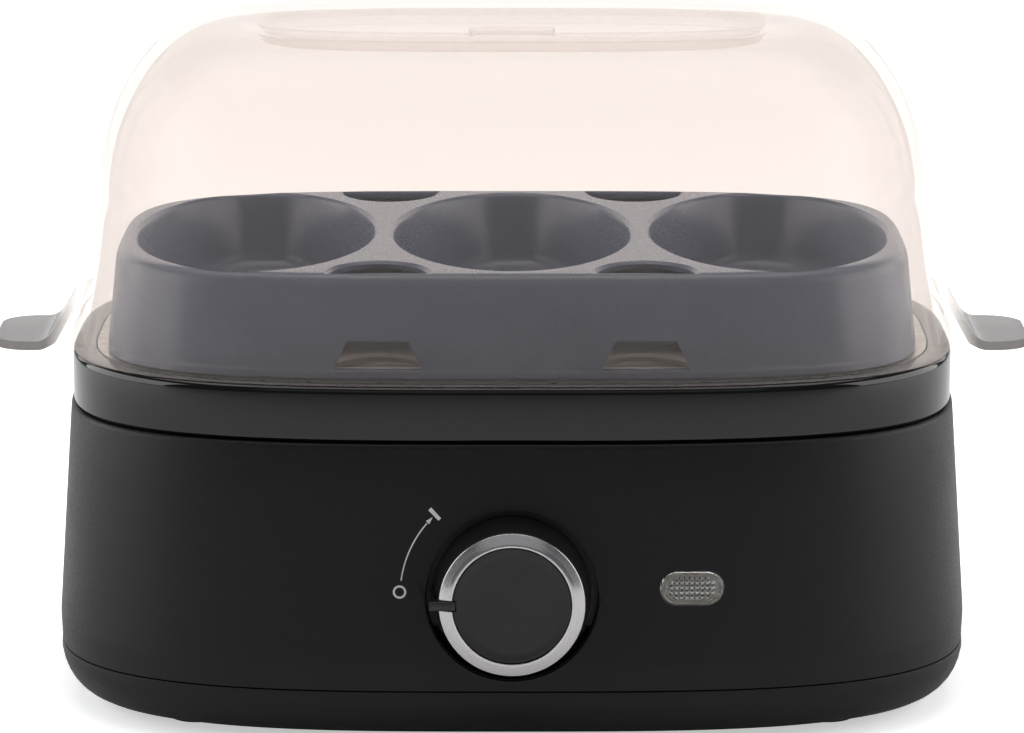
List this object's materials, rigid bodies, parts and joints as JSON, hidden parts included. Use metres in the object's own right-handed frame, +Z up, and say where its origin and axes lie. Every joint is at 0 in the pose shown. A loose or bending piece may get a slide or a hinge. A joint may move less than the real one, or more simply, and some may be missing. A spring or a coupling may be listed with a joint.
{
  "type": "egg cooker",
  "caption": "Countertop egg cooker: oblong black base with a rotary switch and lamp, steel heating pan, lift-out egg and poaching trays, and a clear smoked lid with side handles.",
  "frame": {"origin": "on the table under the middle of the cooker, halfway between the knob's face and the cord gland's tip", "axes": "+Z up, -Y out of the front with the knob, +X to the right seen from the front, along the two lid handles"},
  "size_m": [0.2818, 0.1888, 0.181],
  "materials": {
    "casing": "fine spark texture, black",
    "gloss": "mirror gloss black",
    "knob_plastic": "fine satin black",
    "pan_steel": "brushed stainless",
    "satin_metal": "satin chrome",
    "zinc": "zinc plated steel",
    "rubber": "matt black",
    "silicone": "grey silicone",
    "nylon": "natural nylon",
    "lens_clear": "clear faceted",
    "lamp_glass": "clear glass",
    "sheath": "sleeved lead",
    "lid_smoke": "clear, lightly smoked, polished",
    "tray_slate": "satin slate blue-grey",
    "tray_pale": "satin pale stone"
  },
  "bodies": {
    "base": {"housing": "casing", "bottom_cover": "casing", "bezel_ring": "gloss", "heating_pan": "pan_steel", "pan_gasket": "silicone", "heating_element": "pan_steel", "element_terminal_left": "zinc", "element_terminal_right": "zinc", "thermostat": "zinc", "thermal_fuse": "nylon", "fuse_clip": "zinc", "foot_front_left": "rubber", "foot_back_left": "rubber", "foot_front_right": "rubber", "foot_back_right": "rubber", "cover_screw_1": "zinc", "cover_screw_2": "zinc", "cover_screw_3": "zinc", "cover_screw_4": "zinc", "bezel_screw_1": "zinc", "bezel_screw_2": "zinc", "bezel_screw_3": "zinc", "bezel_screw_4": "zinc", "switch_body": "nylon", "switch_nut": "zinc", "indicator_lens": "lens_clear", "indicator_lamp": "lamp_glass", "lamp_holder": "nylon", "cord_gland": "rubber", "gland_nut": "nylon", "terminal_block": "nylon", "buzzer": "knob_plastic", "lead_live": "sheath", "lead_element": "sheath", "lead_neutral": "sheath", "lead_lamp": "sheath", "lead_buzzer": "sheath"},
    "knob": {"knob": "knob_plastic", "knob_ring": "satin_metal", "knob_cap": "knob_plastic", "switch_shaft": "zinc"},
    "egg_tray": {"egg_tray": "tray_pale"},
    "poaching_tray": {"poaching_tray": "tray_slate"},
    "lid": {"lid": "lid_smoke"}
  },
  "joints": [
    {"name": "knob_turn", "type": "hinge", "parent": "base", "child": "knob", "pos_m": [0, -0.0875, 0.041], "axis": [0, 1, 0], "range_deg": [0, 45]},
    {"name": "egg_tray_lift", "type": "slide", "parent": "base", "child": "egg_tray", "axis": [0, 0, 1], "range_m": [0, 0.03]},
    {"name": "poaching_tray_lift", "type": "slide", "parent": "egg_tray", "child": "poaching_tray", "axis": [0, 0, 1], "range_m": [0, 0.06]},
    {"name": "lid_lift", "type": "slide", "parent": "poaching_tray", "child": "lid", "axis": [0, 0, 1], "range_m": [0, 0.1]}
  ]
}
